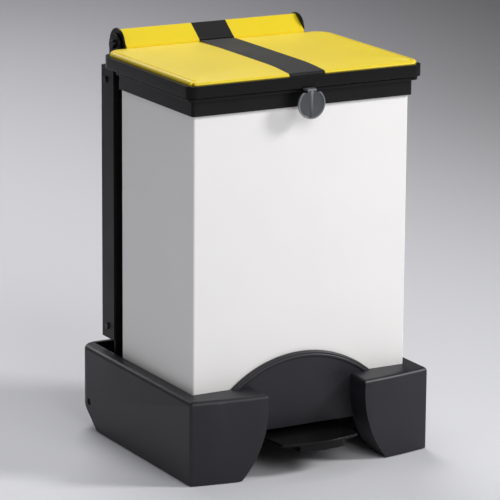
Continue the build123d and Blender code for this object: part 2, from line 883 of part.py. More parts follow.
def make_rod_guides():
    """Plastic guides on the back of the panel."""
    guides = []
    half_x = push_rod_wall / 2 + guide_gap
    half_y = push_rod_half_depth + guide_gap
    outer = half_x + guide_side_wall
    for level in guide_levels:
        top = level + guide_height
        guide = block(-outer, outer, panel_back, rod_back + half_y + guide_back_wall, level, top)
        guide -= block(-half_x, half_x, rod_back - half_y, rod_back + half_y, level - 1, top + 1)
        guides.append(guide)
    return guides


# ---------------------------------------------------------------- pedal
def make_pedal_lever():
    """Bar on edge from the pad, over the pivot, to a fork round the foot of the push rod."""
    front = -pedal_reach + socket_front
    half = lever_half_height
    eye = crank_pin_radius + slot_wall + 1
    bar = side_face([
        (front, lever_front_height - half), (lever_pivot_back, lever_pivot_height - half),
        (lever_pin_back, lever_pin_z - eye + 1), (lever_pin_back, lever_pin_z + eye - 1),
        (lever_pivot_back, lever_pivot_height + half), (front, lever_front_height + half),
    ])
    bar += side_disc(pivot_pin_radius + lever_boss_wall, lever_pivot_back, lever_pivot_height)
    bar += side_disc(eye, lever_pin_back, lever_pin_z)
    bar -= side_disc(pivot_pin_radius + hinge_fit, lever_pivot_back, lever_pivot_height)
    bar -= side_disc(crank_pin_radius, lever_pin_back, lever_pin_z)
    lever = along_x(bar, -lever_wall / 2, lever_wall / 2)
    # the fork
    fork_front = lever_pin_back - fork_reach
    cut = push_rod_wall / 2 + fork_gap
    reach = 2 * fork_reach
    lever -= block(
        -cut, cut, fork_front + fork_wall, lever_pin_back + reach, lever_pin_z - reach, lever_pin_z + reach
    )
    prong = side_face([
        (fork_front, lever_pin_z - eye / 2), (lever_pin_back, lever_pin_z - eye + 1),
        (lever_pin_back, lever_pin_z + eye - 1), (fork_front, lever_pin_z + eye + 2),
    ])
    prong += side_disc(eye, lever_pin_back, lever_pin_z)
    prong -= side_disc(crank_pin_radius, lever_pin_back, lever_pin_z)
    prong = along_x(prong, cut, cut + fork_wall)
    return lever + prong + mirrored(prong)


def make_lever_pin():
    half = push_rod_wall / 2 + fork_gap + fork_wall + pin_end
    return pin(crank_pin_radius, -half, half, lever_pin_back, lever_pin_z)


def pedal_plan(shrink):
    """Plan of the pedal: a bowed front edge and sides that spread to the rear."""
    front_x = pedal_front_half_width - shrink
    rear_x = pedal_rear_half_width - shrink
    front_y = back(-pedal_corner_reach + shrink)
    rear_y = back(pedal_rear - shrink)
    edge = [
        ThreePointArc((-front_x, front_y), (0, back(-pedal_reach + shrink)), (front_x, front_y)),
        Line((front_x, front_y), (rear_x, rear_y)),
        Line((rear_x, rear_y), (-rear_x, rear_y)),
        Line((-rear_x, rear_y), (-front_x, front_y)),
    ]
    return make_face(Wire(edge))


def make_pedal_pad():
    """Flat pad with a block below it, which is socketed for the lever."""
    pad_under = pedal_top - pedal_wall
    pad = along_z(pedal_plan(0), pad_under, pedal_top)
    pad = fillet(pad.edges().filter_by(Axis.Z), pedal_corner_fillet)
    pad = fillet(pad.faces().sort_by(Axis.Z)[-1].edges(), pedal_edge_fillet)
    hub = block(
        -pedal_block_half_width, pedal_block_half_width,
        -pedal_reach, -pedal_block_rear_reach, pedal_block_bottom, pad_under,
    )
    pad += hub & along_z(pedal_plan(pedal_block_inset), pedal_block_bottom, pedal_top)
    socket_low = pedal_block_bottom - pedal_wall
    socket = block(-lever_wall / 2, lever_wall / 2, -pedal_reach + socket_front, 0, socket_low, pad_under)
    return pad - socket


def make_pivot_brackets():
    """Plates under the deck on both sides of the lever."""
    inner = lever_wall / 2 + pivot_bracket_gap
    under = deck_top - deck_wall
    half = pivot_bracket_half_depth
    eye = pivot_bracket_eye
    face = side_face([
        (lever_pivot_back - half, under), (lever_pivot_back + half, under),
        (lever_pivot_back + eye, lever_pivot_height - eye / 2),
        (lever_pivot_back - eye, lever_pivot_height - eye / 2),
    ])
    face += side_disc(eye, lever_pivot_back, lever_pivot_height)
    face -= side_disc(pivot_pin_radius, lever_pivot_back, lever_pivot_height)
    plate = along_x(face, inner, inner + pivot_bracket_wall)
    plate += block(
        inner, inner + pivot_bracket_foot,
        lever_pivot_back - half, lever_pivot_back + half, under - pivot_bracket_wall, under,
    )
    return [plate, mirrored(plate)]


def make_pivot_pin():
    half = lever_wall / 2 + pivot_bracket_gap + pivot_bracket_wall + pivot_pin_end
    return pin(pivot_pin_radius, -half, half, lever_pivot_back, lever_pivot_height)


# ---------------------------------------------------------------- wheels
def make_wheel(side):
    """Hub and tyre on one side, as two shapes."""
    inner_radius = wheel_radius - tyre_wall
    hub_inner = wheel_inner + hub_inset
    hub_outer = wheel_outer - hub_inset
    hub = pin(inner_radius, hub_inner, hub_outer, wheel_back, wheel_z)
    recess = side_disc(inner_radius - hub_rim, wheel_back, wheel_z)
    recess -= side_disc(axle_radius + hub_boss, wheel_back, wheel_z)
    hub -= along_x(recess, wheel_inner, hub_inner + hub_recess)
    hub -= along_x(recess, hub_outer - hub_recess, wheel_outer)
    hub -= pin(axle_radius + axle_fit, wheel_inner - 1, wheel_outer + 1, wheel_back, wheel_z)
    tyre = pin(wheel_radius, wheel_inner, wheel_outer, wheel_back, wheel_z)
    tyre = fillet(tyre.edges().filter_by(GeomType.CIRCLE), tyre_fillet)
    tyre -= pin(inner_radius, wheel_inner - 1, wheel_outer + 1, wheel_back, wheel_z)
    return (hub, tyre) if side > 0 else (mirrored(hub), mirrored(tyre))


def make_axle():
    end = base_outer - axle_recess
    return pin(axle_radius, -end, end, wheel_back, wheel_z)


def make_axle_collars():
    """Collars on the axle that keep each wheel beside its wall."""
    ring = side_disc(axle_radius + collar_wall, wheel_back, wheel_z)
    ring -= side_disc(axle_radius, wheel_back, wheel_z)
    outer = along_x(ring, wheel_outer + collar_gap, base_inner)
    inner_end = wheel_inner - collar_gap
    inner = along_x(ring, inner_end - collar_length, inner_end)
    return [outer, inner, mirrored(outer), mirrored(inner)]


# ---------------------------------------------------------------- write every node
save("base_shell", make_base_shell())
save("rubber_feet", make_rubber_feet())
save("kick_plate", make_kick_plate())
save("deck", make_deck())
save("body_sleeve", make_body_sleeve())
save("body_floor", make_body_floor())
save("frame_band", make_frame_band())
save("band_ties", make_band_ties())
save("sack_ring", make_sack_ring())
save("back_panel", make_back_panel())
save("upright_bolts", make_upright_bolts())
save("bracket_bolts", make_bracket_bolts())
save("hinge_rod", make_hinge_rod())
save("hinge_caps", make_hinge_caps())
save("lid_tray", make_lid_tray())
save("hinge_bushes", make_hinge_bushes())
save("lid_cover", make_lid_cover())
save("lid_stripe", make_lid_stripe())
save("hinge_cover", make_hinge_cover())
save("hinge_stripe", make_hinge_stripe())
save("lid_buffers", make_lid_buffers())
save("lift_tab", make_lift_tab())
save("tab_screw", make_tab_screw())
save("drive_bracket", make_drive_bracket())
save("crank_pin", make_crank_pin())
save("push_rod", make_push_rod())
save("rod_guides", make_rod_guides())
save("pedal_lever", make_pedal_lever())
save("lever_pin", make_lever_pin())
save("pedal_pad", make_pedal_pad())
save("pivot_brackets", make_pivot_brackets())
save("pivot_pin", make_pivot_pin())
save("axle", make_axle())
save("axle_collars", make_axle_collars())
for side_name, side in (("left", -1), ("right", 1)):
    save(f"upright_{side_name}", make_upright(side))
    save(f"hinge_bracket_{side_name}", make_hinge_bracket(side))
    save(f"hinge_cheek_{side_name}", make_cheek(side))
    hub, tyre = make_wheel(side)
    save(f"wheel_hub_{side_name}", hub)
    save(f"wheel_tyre_{side_name}", tyre)
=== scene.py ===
"""Looks of the pedal bin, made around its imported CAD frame.

Every operator below makes one piece or a group of like pieces. Lengths in the property groups are
in metres, places come from the boxes of the CAD nodes, and Z is up with the front facing -Y.
"""

import json
import math

import bmesh
import bpy
from mathutils import Matrix, Vector

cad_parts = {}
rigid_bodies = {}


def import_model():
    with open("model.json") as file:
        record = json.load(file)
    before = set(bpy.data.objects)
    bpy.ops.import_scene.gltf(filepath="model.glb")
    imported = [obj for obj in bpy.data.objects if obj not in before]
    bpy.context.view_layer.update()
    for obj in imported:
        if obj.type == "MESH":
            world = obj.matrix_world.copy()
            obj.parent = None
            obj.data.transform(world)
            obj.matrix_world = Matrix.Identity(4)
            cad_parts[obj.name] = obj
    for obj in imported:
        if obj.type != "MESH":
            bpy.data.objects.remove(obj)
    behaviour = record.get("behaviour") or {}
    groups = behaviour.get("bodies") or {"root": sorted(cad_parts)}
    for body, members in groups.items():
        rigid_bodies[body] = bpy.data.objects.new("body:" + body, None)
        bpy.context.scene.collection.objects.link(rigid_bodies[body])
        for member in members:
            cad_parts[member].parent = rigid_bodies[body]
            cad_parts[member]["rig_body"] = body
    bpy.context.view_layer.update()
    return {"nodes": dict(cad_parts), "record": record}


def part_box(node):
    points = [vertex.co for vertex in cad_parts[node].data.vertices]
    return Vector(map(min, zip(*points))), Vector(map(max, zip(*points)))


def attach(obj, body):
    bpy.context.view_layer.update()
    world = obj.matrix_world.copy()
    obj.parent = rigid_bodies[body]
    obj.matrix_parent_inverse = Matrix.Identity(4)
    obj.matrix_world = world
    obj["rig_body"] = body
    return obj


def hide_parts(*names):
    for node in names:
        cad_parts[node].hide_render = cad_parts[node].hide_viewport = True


bl_info = {
    "name": "Pedal bin",
    "version": (1, 0, 0),
    "blender": (4, 5, 0),
    "location": "3D View > Sidebar > Bin",
    "description": "Finished surfaces of a ward pedal bin with a moulded base and a hinged lid",
    "category": "Object",
}

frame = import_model()
MM = 0.001


# ---------------------------------------------------------------- sizes and colours
def length(name, description, millimetres):
    """A length property, given in millimetres and kept in metres."""
    return bpy.props.FloatProperty(
        name=name, description=description, default=millimetres * MM, unit="LENGTH", precision=5, min=0.0
    )


def colour(name, description, code):
    """A colour property, given as an sRGB hex code and kept linear."""
    return bpy.props.FloatVectorProperty(
        name=name, description=description, default=linear(code), subtype="COLOR", size=4, min=0.0, max=1.0
    )


def linear(code):
    """sRGB hex code to linear RGBA."""
    parts = [int(code[i:i + 2], 16) / 255 for i in (1, 3, 5)]
    return tuple(p / 12.92 if p <= 0.04045 else ((p + 0.055) / 1.055) ** 2.4 for p in parts) + (1.0,)


class BinFinishes(bpy.types.PropertyGroup):
    """Colours of the finishes."""

    moulding: colour("Moulding", "Black polypropylene of the base", "#201F24")
    frame_coat: colour("Frame coat", "Black powder coat of the steel frame", "#101011")
    body_coat: colour("Body coat", "White powder coat of the body", "#EEECEA")
    cover: colour("Cover", "Yellow polypropylene of the lid cover", "#ECD11A")
    tray: colour("Tray", "Black polypropylene of the lid tray", "#0B0B0C")
    strip: colour("Strip", "Black vinyl strip on the cover", "#121211")
    tab_tint: colour("Tab tint", "Smoky tint of the clear tab", "#4B4D52")
    # Tab lit is a painted highlight: a lighter colour painted on the rim and the rib of the tab.
    tab_painted_highlight: colour("Tab lit", "Light gathered in the rim and the rib of the tab", "#92959B")
    floor: colour("Floor", "Paper sweep under the bin", "#D9D9DC")
    # The two far colours are painted shade: the sweep darkens behind the bin, more to the right, standing in
    # for the light falling off.
    far_left_painted_shade: colour("Far left", "Paper sweep behind the bin, to the left", "#BAB9BE")
    far_right_painted_shade: colour("Far right", "Paper sweep behind the bin, to the right", "#6A6A6A")


class LidSizes(bpy.types.PropertyGroup):
    """Sizes of the lid cover and its strip."""

    crown: length("Crown", "Rise of the middle of the cover above its border", 1.4)
    border: length("Border", "Border outside the crease", 7.5)
    groove: length("Groove", "Depth of the crease inside each side border", 2.0)
    ramp: length("Ramp", "Width over which the field rises to its full height", 80.0)
    roll: length("Roll", "Width over which the front of the cover rolls down to the rim", 60.0)
    dip: bpy.props.FloatProperty(
        name="Dip", description="Share of the cover's height that its front edge rolls down", default=0.35
    )
    notch: length("Notch", "Depth of the notch in each front corner of the skirt", 4.2)
    skirt: length("Skirt", "Height of the upright skirt of the cover", 6.0)
    edge: length("Edge", "Radius of the cover's edge", 4.6)
    wall: length("Wall", "Wall of the cover", 2.2)
    strip_width: length("Strip width", "Width of the black strip", 57.0)
    strip_wall: length("Strip wall", "Top of the black strip above the cover", 0.35)
    strip_gap: length("Strip gap", "Underside of the black strip above the cover", 0.1)
    front_corner: length("Front corner", "Corner radius of the cover at its front", 11.5)
    rear_corner: length("Rear corner", "Corner radius of the cover at its rear", 25.5)


class BaseSizes(bpy.types.PropertyGroup):
    """Sizes of the moulded base."""

    edge: length("Edge", "Rounding of the sharp edges of the moulding", 2.4)
    arch: length("Arch", "Radius of the arched top of the kick plate", 175.0)
    bead_width: length("Bead width", "Width of the raised bead round the arch", 5.0)
    bead_rise: length("Bead rise", "Height of the bead off the plate", 1.3)
    bead_sink: length("Bead sink", "Depth of the foot of the bead in the plate", 0.1)
    bead_inset: length("Bead inset", "Middle of the bead in from the top of the arch", 6.4)


class StageSettings(bpy.types.PropertyGroup):
    """Where the camera stands, what it looks at and its lens."""

    azimuth: bpy.props.FloatProperty(
        name="Azimuth", description="Direction of view, from straight ahead", default=math.radians(-29.104),
        subtype="ANGLE", unit="ROTATION",
    )
    elevation: bpy.props.FloatProperty(
        name="Elevation", description="Height of the view above level", default=math.radians(14.106),
        subtype="ANGLE", unit="ROTATION",
    )
    roll: bpy.props.FloatProperty(
        name="Roll", description="Turn of the camera about its view", default=math.radians(0.414),
        subtype="ANGLE", unit="ROTATION",
    )
    distance: length("Distance", "Camera to the point it looks at", 4567.9)
    aim: bpy.props.FloatVectorProperty(
        name="Aim", description="Point that the camera looks at", default=(-0.06315, -0.09094, 0.3119),
        subtype="TRANSLATION", unit="LENGTH", precision=5,
    )
    lens: bpy.props.FloatProperty(
        name="Lens", description="Focal length in millimetres for a 36 mm sensor", default=233.0, min=10.0
    )


# ---------------------------------------------------------------- materials
def add(tree, kind, settings=None, links=None):
    """Adds a node, sets its inputs or attributes by name, and links its inputs."""
    node = tree.nodes.new(kind)
    for key, value in (settings or {}).items():
        if key in node.inputs:
            node.inputs[key].default_value = value
        else:
            setattr(node, key, value)
    for key, source in (links or {}).items():
        tree.links.new(source, node.inputs[key])
    return node


def start_material(name, base, **settings):
    """A material with a Principled shader, and the node tree to add a texture to."""
    material = bpy.data.materials.new(name)
    material.use_nodes = True
    tree = material.node_tree
    shader = tree.nodes["Principled BSDF"]
    shader.inputs["Base Color"].default_value = base
    for key, value in settings.items():
        shader.inputs[key.replace("_", " ")].default_value = value
    return material, tree, shader


def place(tree):
    """Object coordinates, which are metres in the frame of the whole bin."""
    return add(tree, "ShaderNodeTexCoord").outputs["Object"]


def colour_input(node, name):
    """The colour socket of a mix node with this name."""
    return next(socket for socket in node.inputs if socket.name == name and socket.type == "RGBA")


def colour_output(node):
    """The colour result of a mix node."""
    return next(socket for socket in node.outputs if socket.type == "RGBA")


def speckle(tree, size_mm, detail=2.0, roughness=0.5):
    """Noise whose grains are about size_mm across."""
    return add(
        tree, "ShaderNodeTexNoise", {"Scale": 1000.0 / size_mm, "Detail": detail, "Roughness": roughness},
        {"Vector": place(tree)},
    )


def bump(tree, shader, height, depth_mm, strength=1.0):
    """Bump of a given depth on a shader."""
    settings = {"Strength": strength, "Distance": depth_mm * MM}
    node = add(tree, "ShaderNodeBump", settings, {"Height": height})
    tree.links.new(node.outputs["Normal"], shader.inputs["Normal"])


def spread(tree, source, low, high):
    """Maps a 0..1 texture to a range."""
    settings = {"To Min": low, "To Max": high}
    return add(tree, "ShaderNodeMapRange", settings, {"Value": source}).outputs["Result"]


def tint(tree, source, dark, light):
    """Blends two colours by a texture."""
    blend = add(tree, "ShaderNodeValToRGB", links={"Fac": source})
    for element, position, paint in zip(blend.color_ramp.elements, (0.3, 0.7), (dark, light)):
        element.position = position
        element.color = paint
    return blend.outputs["Color"]


def shade(base, factor):
    """The same colour, lighter or darker."""
    return tuple(min(1.0, c * factor) for c in base[:3]) + (1.0,)


def moulded_black_polypropylene(finishes):
    """Injection moulded in a spark-eroded tool: an even satin black with a fine grain.

    The real grain is about 0.1 mm and is drawn at 0.8 mm so that it shows.
    """
    base = tuple(finishes.moulding)
    material, tree, shader = start_material("moulded_black_polypropylene", base, Specular_IOR_Level=0.38)
    grain = speckle(tree, 0.8, 3.0).outputs["Fac"]
    cloud = speckle(tree, 90.0, 2.0).outputs["Fac"]
    tree.links.new(tint(tree, cloud, shade(base, 0.86), shade(base, 1.14)), shader.inputs["Base Color"])
    tree.links.new(spread(tree, cloud, 0.36, 0.5), shader.inputs["Roughness"])
    bump(tree, shader, grain, 0.05, 0.5)
    return material


def black_powder_coat(finishes):
    """Polyester powder baked on sheet steel: a low sheen with a faint orange peel of about 2 mm."""
    base = tuple(finishes.frame_coat)
    material, tree, shader = start_material("black_powder_coat", base, Specular_IOR_Level=0.2)
    peel = speckle(tree, 2.0, 2.0).outputs["Fac"]
    wear = speckle(tree, 45.0, 3.0).outputs["Fac"]
    tree.links.new(spread(tree, wear, 0.3, 0.46), shader.inputs["Roughness"])
    tree.links.new(tint(tree, wear, shade(base, 0.88), shade(base, 1.15)), shader.inputs["Base Color"])
    bump(tree, shader, peel, 0.04, 0.35)
    return material


def white_powder_coat(finishes):
    """Epoxy powder baked on zinc-coated sheet: a bright white with a soft gloss and a 2.5 mm peel."""
    base = tuple(finishes.body_coat)
    material, tree, shader = start_material("white_powder_coat", base, IOR=1.52)
    peel = speckle(tree, 2.5, 1.0).outputs["Fac"]
    haze = speckle(tree, 120.0, 2.0).outputs["Fac"]
    tree.links.new(tint(tree, haze, shade(base, 0.975), base), shader.inputs["Base Color"])
    tree.links.new(spread(tree, haze, 0.3, 0.4), shader.inputs["Roughness"])
    bump(tree, shader, peel, 0.02, 0.25)
    return material


def moulded_yellow_polypropylene(finishes):
    """Self-coloured polypropylene from a lightly etched tool: full yellow, satin, slightly waxy."""
    base = tuple(finishes.cover)
    material, tree, shader = start_material(
        "moulded_yellow_polypropylene", base, IOR=1.49, Subsurface_Weight=0.06, Subsurface_Scale=0.003
    )
    grain = speckle(tree, 1.0, 2.0).outputs["Fac"]
    cloud = speckle(tree, 110.0, 2.0).outputs["Fac"]
    tree.links.new(tint(tree, cloud, shade(base, 0.95), base), shader.inputs["Base Color"])
    tree.links.new(spread(tree, cloud, 0.36, 0.46), shader.inputs["Roughness"])
    bump(tree, shader, grain, 0.03, 0.3)
    return material


def moulded_black_tray(finishes):
    """Polypropylene from a polished tool: deeper and glossier than the base."""
    base = tuple(finishes.tray)
    material, tree, shader = start_material("moulded_black_tray", base, Specular_IOR_Level=0.18)
    grain = speckle(tree, 0.8, 2.0).outputs["Fac"]
    smear = speckle(tree, 30.0, 3.0).outputs["Fac"]
    tree.links.new(spread(tree, smear, 0.24, 0.36), shader.inputs["Roughness"])
    bump(tree, shader, grain, 0.03, 0.35)
    return material


def black_vinyl_strip(finishes):
    """Calendered vinyl film: flat dark grey with a fine leathery emboss of about 1.2 mm."""
    base = tuple(finishes.strip)
    material, tree, shader = start_material("black_vinyl_strip", base, Specular_IOR_Level=0.25)
    cells = add(tree, "ShaderNodeTexVoronoi", {"Scale": 1000.0 / 1.2}, {"Vector": place(tree)})
    smear = speckle(tree, 40.0, 2.0).outputs["Fac"]
    tree.links.new(spread(tree, smear, 0.55, 0.7), shader.inputs["Roughness"])
    bump(tree, shader, cells.outputs["Distance"], 0.04, 0.35)
    return material


def ramp(tree, value, start, end, interpolation="LINEAR"):
    """0 where the value is at the start and 1 where it is at the end."""
    settings = {"interpolation_type": interpolation, "From Min": start, "From Max": end}
    return add(tree, "ShaderNodeMapRange", settings, {"Value": value}).outputs["Result"]


def mixed(tree, factor, first, second):
    """Mixes two colours. Each is a fixed colour or another node's colour output."""
    node = add(tree, "ShaderNodeMix", {"data_type": "RGBA"}, {"Factor": factor})
    for name, paint in (("A", first), ("B", second)):
        socket = colour_input(node, name)
        if isinstance(paint, tuple):
            socket.default_value = paint
        else:
            tree.links.new(paint, socket)
    return colour_output(node)


def clear_moulded_acrylic(finishes):
    """Injection moulded acrylic: smoky and polished, with a painted highlight, a lighter colour, on its
    thick rim and its rib.
    """
    base = tuple(finishes.tab_tint)
    material, tree, shader = start_material(
        "clear_moulded_acrylic", base, Roughness=0.12, IOR=1.49, Transmission_Weight=0.4
    )
    bottom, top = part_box("lift_tab")
    # Painted highlight: the base colour is mixed towards a lighter colour on the rim and on the rib, more so
    # towards the rib's top.
    rim_dark, rim_lit = 2.8 * MM, 1.0 * MM
    rib_dark, rib_lit = 3.0 * MM, 0.8 * MM
    radius = (top.x - bottom.x) / 2
    reach = 0.7 * radius
    middle = bottom.z + radius
    split = add(tree, "ShaderNodeSeparateXYZ", {}, {"Vector": place(tree)}).outputs
    flat = add(tree, "ShaderNodeCombineXYZ", {}, {"X": split["X"], "Z": split["Z"]})
    away = add(tree, "ShaderNodeVectorMath", {"operation": "DISTANCE"}, {0: flat.outputs["Vector"]})
    away.inputs[1].default_value = (0, 0, middle)
    rim = ramp(tree, away.outputs["Value"], radius - rim_dark, radius - rim_lit)
    beside = add(tree, "ShaderNodeMath", {"operation": "ABSOLUTE"}, {0: split["X"]}).outputs["Value"]
    rib = ramp(tree, beside, rib_dark, rib_lit)
    height = ramp(tree, split["Z"], middle - reach, middle + reach)
    rib = add(tree, "ShaderNodeMath", {"operation": "MULTIPLY"}, {0: rib, 1: height}).outputs["Value"]
    lit = add(tree, "ShaderNodeMath", {"operation": "MAXIMUM"}, {0: rim, 1: rib}).outputs["Value"]
    tree.links.new(mixed(tree, lit, base, tuple(finishes.tab_painted_highlight)), shader.inputs["Base Color"])
    flow = speckle(tree, 12.0, 1.0).outputs["Fac"]
    bump(tree, shader, flow, 0.03, 0.2)
    return material


def zinc_plated_steel(finishes):
    """Drawn steel with a passivated zinc plate: a cool grey metal with fine drawing marks."""
    material, tree, shader = start_material("zinc_plated_steel", linear("#B9BBBE"), Metallic=1.0)
    marks = speckle(tree, 1.5, 3.0).outputs["Fac"]
    tree.links.new(spread(tree, marks, 0.25, 0.42), shader.inputs["Roughness"])
    bump(tree, shader, marks, 0.02, 0.2)
    return material


def black_bolt_steel(finishes):
    """Phosphated steel: nearly black metal with a dull sheen."""
    material, tree, shader = start_material("black_bolt_steel", linear("#3A3A3D"), Metallic=1.0)
    marks = speckle(tree, 1.0, 3.0).outputs["Fac"]
    tree.links.new(spread(tree, marks, 0.28, 0.45), shader.inputs["Roughness"])
    return material


def black_rubber(finishes):
    """Pressed natural rubber: dull black with a dusty bloom."""
    base = linear("#202021")
    material, tree, shader = start_material("black_rubber", base, Roughness=0.8, IOR=1.52)
    bloom = speckle(tree, 8.0, 3.0).outputs["Fac"]
    tree.links.new(tint(tree, bloom, base, linear("#2A2A2B")), shader.inputs["Base Color"])
    bump(tree, shader, bloom, 0.05, 0.3)
    return material


def natural_nylon(finishes):
    """Machined nylon: milky off-white with a soft sheen and turning marks."""
    base = linear("#DAD8CC")
    material, tree, shader = start_material(
        "natural_nylon", base, Roughness=0.45, IOR=1.53, Subsurface_Weight=0.08
    )
    marks = speckle(tree, 1.5, 2.0).outputs["Fac"]
    bump(tree, shader, marks, 0.03, 0.25)
    return material


def grey_moulded_nylon(finishes):
    """Glass-filled nylon of the wheel hubs: mid grey with a streaky flow pattern."""
    base = linear("#4B4B4E")
    material, tree, shader = start_material("grey_moulded_nylon", base, Roughness=0.5, IOR=1.53)
    flow = speckle(tree, 14.0, 4.0).outputs["Fac"]
    tree.links.new(tint(tree, flow, shade(base, 0.85), shade(base, 1.15)), shader.inputs["Base Color"])
    bump(tree, shader, flow, 0.05, 0.3)
    return material


MATERIAL_MAKERS = {
    "base_black": moulded_black_polypropylene,
    "frame_black": black_powder_coat,
    "body_white": white_powder_coat,
    "cover_yellow": moulded_yellow_polypropylene,
    "lid_black": moulded_black_tray,
    "stripe_black": black_vinyl_strip,
    "clear_plastic": clear_moulded_acrylic,
    "steel": zinc_plated_steel,
    "bolt_black": black_bolt_steel,
    "rubber_black": black_rubber,
    "nylon": natural_nylon,
    "hub_grey": grey_moulded_nylon,
    "tyre_rubber": black_rubber,
}
_made = {}


def finish(slot):
    """The material of a slot, made once."""
    maker = MATERIAL_MAKERS[slot]
    if maker not in _made:
        _made[maker] = maker(bpy.context.scene.bin_finishes)
    return _made[maker]


# ---------------------------------------------------------------- mesh helpers
def low(node):
    """Lowest corner of a CAD node."""
    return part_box(node)[0]


def high(node):
    """Highest corner of a CAD node."""
    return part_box(node)[1]


def add_piece(name, bm, body, slot, replaced, smooth_angle=35.0):
    """Turns a bmesh into a piece that rides on a body and stands for CAD nodes."""
    bmesh.ops.recalc_face_normals(bm, faces=bm.faces)
    mesh = bpy.data.meshes.new(name)
    bm.to_mesh(mesh)
    bm.free()
    piece = bpy.data.objects.new(name, mesh)
    bpy.context.scene.collection.objects.link(piece)
    mesh.shade_smooth()
    mesh.set_sharp_from_angle(angle=math.radians(smooth_angle))
    piece.data.materials.append(finish(slot))
    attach(piece, body)
    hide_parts(*replaced)
    return piece


def soften(piece, width, segments, angle):
    """Rounds the sharp edges of a finished piece with a live bevel."""
    modifier = piece.modifiers.new("edge_radius", "BEVEL")
    modifier.width = width
    modifier.segments = segments
    modifier.limit_method = "ANGLE"
    modifier.angle_limit = math.radians(angle)
    modifier.harden_normals = True


def body_of(node):
    """Name of the CAD body that a node belongs to."""
    return frame["nodes"][node]["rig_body"]


def copy_mesh(node):
    """A clean copy of a CAD node's mesh, with its flat faces in one piece."""
    bm = bmesh.new()
    bm.from_mesh(frame["nodes"][node].data)
    bmesh.ops.remove_doubles(bm, verts=bm.verts, dist=0.01 * MM)
    bmesh.ops.dissolve_limit(bm, angle_limit=math.radians(0.3), verts=bm.verts, edges=bm.edges)
    return bm


def rounded(node, slot, radius_mm, segments=2):
    """Stands for a CAD node with the same shape and rounded edges."""
    piece = add_piece(node + "_finished", copy_mesh(node), body_of(node), slot, (node,))
    soften(piece, radius_mm * MM, segments, 35.0)


def join_rings(bm, rings):
    """Faces between each closed ring of vertices and the next."""
    for one, two in zip(rings, rings[1:]):
        for i in range(len(one)):
            j = (i + 1) % len(one)
            bm.faces.new((one[i], one[j], two[j], two[i]))


def sweep_arc(bm, centre, radius, start, end, steps, section):
    """Sweeps a section of (out, forward) pairs along an arc in an X-Z plane."""
    rings = []
    for step in range(steps + 1):
        turn = start + (end - start) * step / steps
        out = Vector((math.sin(turn), 0, math.cos(turn)))
        rings.append([
            bm.verts.new(centre + out * (radius + across) - Vector((0, forward, 0)))
            for across, forward in section
        ])
    join_rings(bm, rings)
    bm.faces.new(rings[0])
    bm.faces.new(rings[-1])


# ---------------------------------------------------------------- small parts that keep their CAD mesh
class BIN_OT_hardware(bpy.types.Operator):
    """Finishes of every CAD node, from its own record slot"""

    bl_idname = "bin.hardware"
    bl_label = "Finish the hardware"

    def execute(self, context):
        for part in frame["record"]["subparts"]:
            slot = part["material_slot"]
            if part["node"] in ("upright_bolts", "bracket_bolts", "hinge_caps"):
                slot = "bolt_black"
            node = frame["nodes"][part["node"]]
            node.data.materials.clear()
            node.data.materials.append(finish(slot))
        return {"FINISHED"}


# ---------------------------------------------------------------- lid
def cover_steps(lid, rim_top):
    """Section of the cover from its foot inwards, as (inset, height, share of the crease)."""
    edge_steps, field_steps = 4, 18
    border_top = rim_top + lid.skirt
    steps = [(0.0, rim_top, 0.0)]
    for step in range(edge_steps + 1):
        turn = math.radians(90 * step / edge_steps)
        steps.append((lid.edge * (1 - math.cos(turn)), border_top - lid.edge * (1 - math.sin(turn)), 0.0))
    for across, share in ((-0.5, 0.0), (-0.25, 0.6), (0.0, 1.0), (0.25, 0.6), (0.5, 0.0)):
        steps.append((lid.border + across * lid.groove, border_top, share))
    start = steps[-1][0]
    for step in range(1, field_steps + 1):
        part = step / field_steps
        rise = lid.crown * (1 - (1 - part) ** 2)
        steps.append((start + (lid.ramp - start) * part, border_top + rise, 0.0))
    return steps


def rolled(lid, rim_top, inset, height, share):
    """Height of the cover where it rolls down towards the rim, fully so at the front."""
    rest = max(0.0, 1 - inset / lid.roll)
    return rim_top + (height - rim_top) * (1 - lid.dip * share * rest * rest)


def rounded_outline(corner_low, corner_high, inset, front_radius, rear_radius, segments):
    """Rounded rectangle in plan, as (place, share of a side, share of a front corner, way out).

    Every inset has the same number of points, so that outlines can be joined.
    """
    points = []
    corners = (
        (corner_low.x, corner_low.y, front_radius, 180),
        (corner_high.x, corner_low.y, front_radius, 270),
        (corner_high.x, corner_high.y, rear_radius, 0),
        (corner_low.x, corner_high.y, rear_radius, 90),
    )
    middle = (corner_low + corner_high) / 2
    for x, y, radius, start in corners:
        soft = max(radius - inset, 0) + 0.5 * max(inset - radius / 2, 0)
        reach = inset + soft
        centre = Vector((x + math.copysign(reach, middle.x - x), y + math.copysign(reach, middle.y - y)))
        for step in range(segments + 1):
            turn = math.radians(start + 90 * step / segments)
            aim = Vector((math.cos(turn), math.sin(turn)))
            near = max(0.0, 1 - abs(step - segments / 2) / 2) if y < middle.y else 0.0
            points.append((centre + soft * aim, abs(aim.x) ** 0.5, near, aim))
    return points


